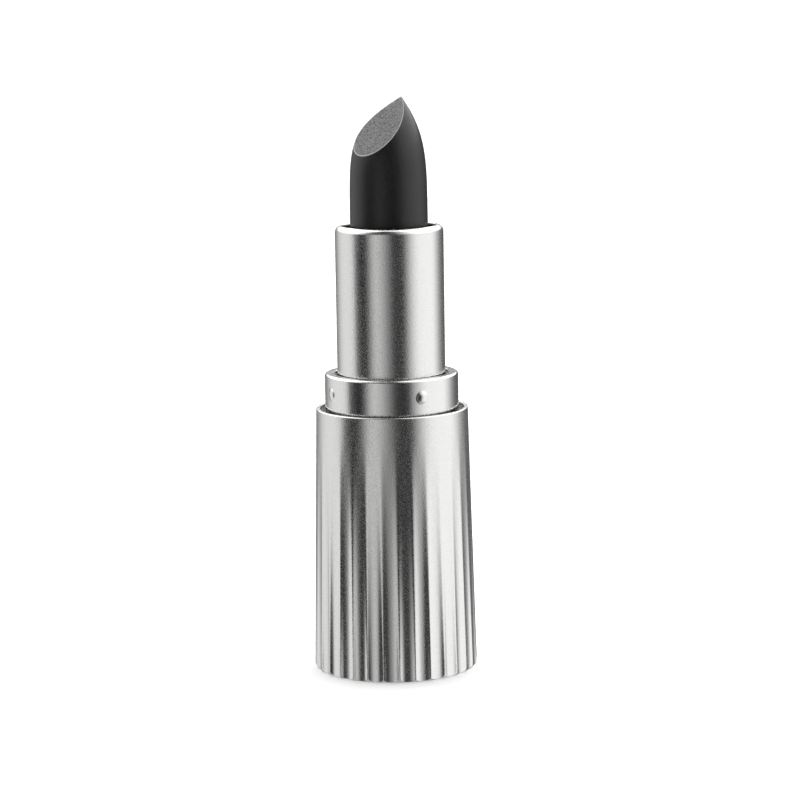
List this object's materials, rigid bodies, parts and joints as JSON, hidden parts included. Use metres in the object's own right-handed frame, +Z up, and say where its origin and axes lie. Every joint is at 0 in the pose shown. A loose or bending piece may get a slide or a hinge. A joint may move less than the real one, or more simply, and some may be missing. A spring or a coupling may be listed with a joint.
{
  "type": "lipstick case",
  "caption": "Twist-up lipstick case without its cap: fluted satin aluminium base, collar ring with snap bumps, plain turning sleeve, and a bullet with a slanting cut raised on a lugged carrier.",
  "frame": {"origin": "centre of the foot, on the surface that the case stands on", "axes": "+Z up along the axis of the case towards the bullet's tip; +X to the right and +Y away from the user, who sees the cut face"},
  "size_m": [0.0258, 0.0258, 0.0894],
  "materials": {
    "satin_aluminium": "bead blasted and anodised, silver satin",
    "foil_label": "blank matt foil",
    "black_plastic": "moulded, fine satin",
    "adhesive_foam": "double-sided pad",
    "weight_steel": "zinc plated, turned",
    "silicone": "moulded silicone",
    "black_wax": "moulded wax, satin, with a cut face"
  },
  "bodies": {
    "base": {"base_shell": "satin_aluminium", "shade_label": "foil_label", "inner_base": "black_plastic", "weight_adhesive": "adhesive_foam", "base_weight": "weight_steel", "collar": "satin_aluminium", "slotted_tube": "black_plastic", "torque_ring": "silicone"},
    "sleeve": {"spiral_tube": "black_plastic", "outer_sleeve": "satin_aluminium"},
    "carrier": {"carrier_cup": "black_plastic", "lipstick_bullet": "black_wax"}
  },
  "joints": [
    {"name": "twist", "type": "hinge", "parent": "base", "child": "sleeve", "pos_m": [0, 0, 0], "axis": [0, 0, 1], "range_deg": [0, 540]},
    {"name": "carrier_slide", "type": "slide", "parent": "base", "child": "carrier", "axis": [0, 0, 1], "range_m": [-0.021, 0]}
  ],
  "couplings": [
    {"joint": "carrier_slide", "follows": "twist", "m_per_rad": -0.0022282}
  ]
}
